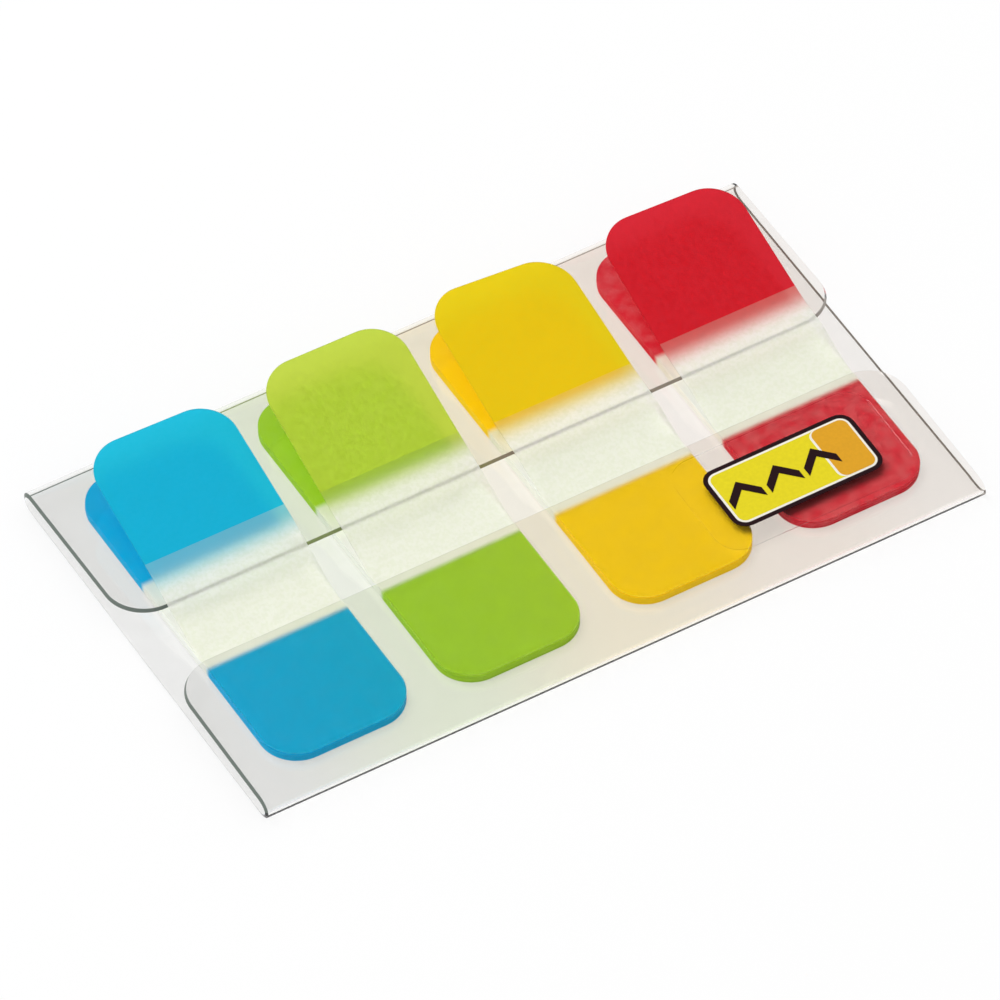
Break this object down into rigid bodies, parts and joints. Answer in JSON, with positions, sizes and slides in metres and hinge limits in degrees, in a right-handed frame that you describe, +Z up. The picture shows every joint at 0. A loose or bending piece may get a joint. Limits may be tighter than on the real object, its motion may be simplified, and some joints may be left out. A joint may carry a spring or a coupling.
{
  "type": "index tab pocket dispenser",
  "caption": "Flat clear sleeve, folded over along both long edges, that holds pads of coloured film index tabs under its flaps, with each pad's top tab standing out through the slot.",
  "frame": {"origin": "middle of the sleeve's underside", "axes": "+X along the sleeve and its folds, +Y from the front fold to the back fold, +Z up out of the slot"},
  "size_m": [0.083, 0.0486, 0.0078],
  "materials": {
    "clear_film": "clear, glossy",
    "blue_film": "translucent, satin",
    "green_film": "translucent, satin",
    "yellow_film": "translucent, satin",
    "red_film": "translucent, satin"
  },
  "bodies": {
    "root": {"sleeve": "clear_film", "front_sticker": "clear_film", "pad_blue": "blue_film", "pad_green": "green_film", "pad_yellow": "yellow_film", "pad_red": "red_film", "top_tab_blue": "blue_film", "top_tab_green": "green_film", "top_tab_yellow": "yellow_film", "top_tab_red": "red_film"}
  },
  "joints": []
}
